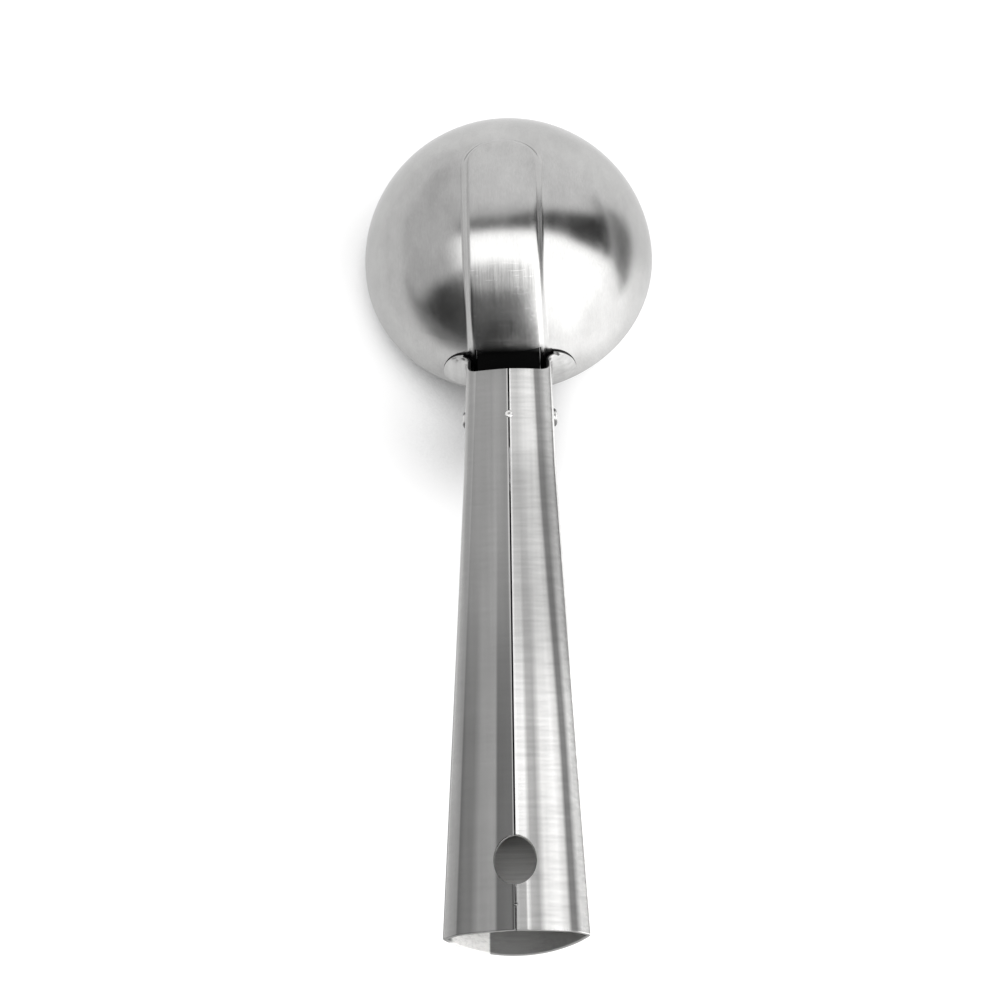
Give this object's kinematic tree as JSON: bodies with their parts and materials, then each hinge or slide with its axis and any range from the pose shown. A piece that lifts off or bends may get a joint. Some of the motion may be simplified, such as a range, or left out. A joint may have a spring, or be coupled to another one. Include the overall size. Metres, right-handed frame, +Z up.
{
  "type": "portion scoop",
  "caption": "Stainless portion scoop: a hemispherical bowl on a rolled sheet handle, with a thumb lever that swings a tongue through the bowl to push the portion out.",
  "frame": {"origin": "centre of the bottom of the box round the scoop as it rests face down on its rim's far point and its thumb pad", "axes": "+Y along the scoop from the handle's open end towards the bowl, +Z up, +X to the right seen from the handle"},
  "size_m": [0.06, 0.181, 0.0579],
  "materials": {
    "bowl_steel": "pressed stainless sheet with a fine satin brushing round the bowl",
    "handle_steel": "rolled stainless sheet brushed across its length",
    "rivet_steel": "turned stainless rivet with a plain satin head",
    "spring_steel": "bright drawn spring wire",
    "tongue_steel": "stainless sheet with a fine satin finish"
  },
  "bodies": {
    "scoop_body": {"bowl": "bowl_steel", "handle": "handle_steel", "pivot_rivet": "rivet_steel", "return_spring": "spring_steel"},
    "ejector": {"ejector_tongue": "tongue_steel", "thumb_lever": "tongue_steel"}
  },
  "joints": [
    {"name": "lever_press", "type": "hinge", "parent": "scoop_body", "child": "ejector", "pos_m": [0, 0.02308, 0.0166], "axis": [-1, 0, 0], "range_deg": [0, 30], "stiffness_Nm_per_rad": 0.15, "springref_deg": -28.65, "deforming": ["return_spring"]}
  ]
}
